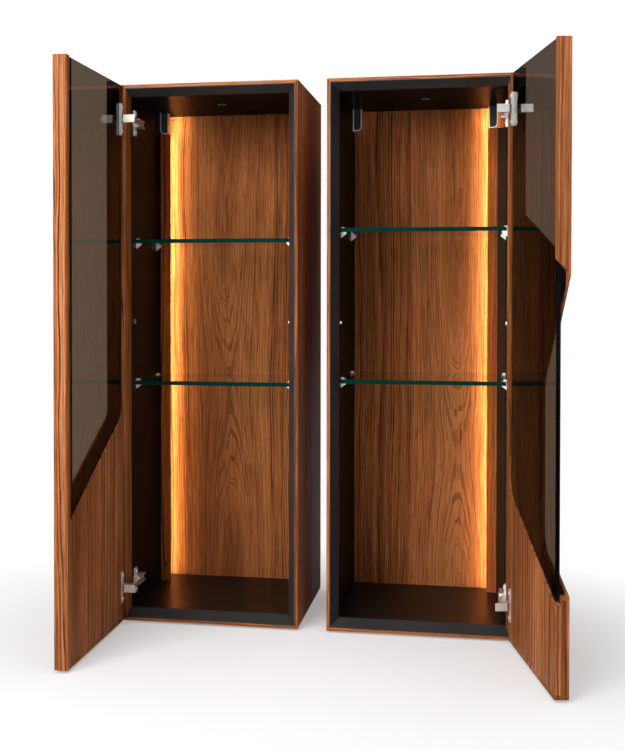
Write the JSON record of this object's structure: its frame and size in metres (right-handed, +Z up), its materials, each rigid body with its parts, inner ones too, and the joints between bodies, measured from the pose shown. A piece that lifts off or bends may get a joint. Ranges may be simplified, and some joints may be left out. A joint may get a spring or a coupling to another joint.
{
  "type": "wall display cabinet pair",
  "caption": "Matching left- and right-hand wall-hung walnut display cabinets with glazed doors on concealed hinges, glass shelves and a lit back panel, hung on steel wall rails.",
  "frame": {"origin": "on the wall, midway between the two cabinets, level with their undersides", "axes": "+Z up, +Y into the wall, -Y out of the fronts, +X to the right seen from the front"},
  "size_m": [0.8599, 0.6992, 1.06],
  "materials": {
    "walnut": "satin, straight grain",
    "figured_walnut": "satin, cathedral grain",
    "black_lacquer": "matt lacquer",
    "smoked_glass": "polished, grey-brown tint",
    "clear_glass": "polished, green edges",
    "nickel": "nickel plated",
    "chrome": "polished",
    "aluminium": "anodised",
    "led_diffuser": "opal, lit warm white",
    "black_plastic": "fine texture",
    "zinc_steel": "zinc plated"
  },
  "bodies": {
    "cabinets": {"bracket_inserts": "black_plastic", "cable_grommet": "black_plastic", "hanging_brackets": "nickel", "hinge_mounting_plates": "nickel", "light_sensors": "black_plastic", "mounting_screws": "nickel", "shelf_clips": "nickel", "side_caps": "chrome", "wall_rails": "zinc_steel", "left_back_panel": "figured_walnut", "left_bottom_panel": "walnut", "left_top_panel": "walnut", "left_side_free": "walnut", "left_side_hinge": "walnut", "left_lining_bottom": "black_lacquer", "left_lining_free": "black_lacquer", "left_lining_hinge": "black_lacquer", "left_lining_top": "black_lacquer", "left_front_frame": "black_lacquer", "left_hinge_trim": "walnut", "left_light_pelmet": "walnut", "left_light_profile": "aluminium", "left_light_diffuser": "led_diffuser", "left_shelf_lower": "clear_glass", "left_shelf_upper": "clear_glass", "right_back_panel": "figured_walnut", "right_bottom_panel": "walnut", "right_top_panel": "walnut", "right_side_free": "walnut", "right_side_hinge": "walnut", "right_lining_bottom": "black_lacquer", "right_lining_free": "black_lacquer", "right_lining_hinge": "black_lacquer", "right_lining_top": "black_lacquer", "right_front_frame": "black_lacquer", "right_hinge_trim": "walnut", "right_light_pelmet": "walnut", "right_light_profile": "aluminium", "right_light_diffuser": "led_diffuser", "right_shelf_lower": "clear_glass", "right_shelf_upper": "clear_glass", "right_light_filler": "black_lacquer"},
    "left_arms": {"left_hinge_arms": "nickel"},
    "left_door": {"left_door_face": "walnut", "left_door_core": "black_lacquer", "left_door_inner_board": "walnut", "left_door_glass": "smoked_glass", "left_door_edging": "walnut", "left_door_hinge_plates": "nickel", "left_hinge_pins": "nickel", "left_door_screws": "nickel"},
    "right_arms": {"right_hinge_arms": "nickel"},
    "right_door": {"right_door_face": "walnut", "right_door_core": "black_lacquer", "right_door_inner_board": "walnut", "right_door_glass": "smoked_glass", "right_door_edging": "walnut", "right_door_hinge_plates": "nickel", "right_hinge_pins": "nickel", "right_door_screws": "nickel"}
  },
  "joints": [
    {"name": "left_arm_slide", "type": "slide", "parent": "cabinets", "child": "left_arms", "axis": [0, 1, 0], "range_m": [-0.0069, 0.04087]},
    {"name": "left_door_hinge", "type": "hinge", "parent": "left_arms", "child": "left_door", "pos_m": [-0.3552, -0.37297, 0.53], "axis": [0, 0, 1], "range_deg": [-15, 90]},
    {"name": "right_arm_slide", "type": "slide", "parent": "cabinets", "child": "right_arms", "axis": [0, 1, 0], "range_m": [-0.00196, 0.04581]},
    {"name": "right_door_hinge", "type": "hinge", "parent": "right_arms", "child": "right_door", "pos_m": [0.3552, -0.37791, 0.53], "axis": [0, 0, -1], "range_deg": [-4.1, 100.9]}
  ],
  "couplings": [
    {"joint": "left_arm_slide", "follows": "left_door_hinge", "m_per_rad": 0.025955},
    {"joint": "right_arm_slide", "follows": "right_door_hinge", "m_per_rad": 0.025955}
  ]
}
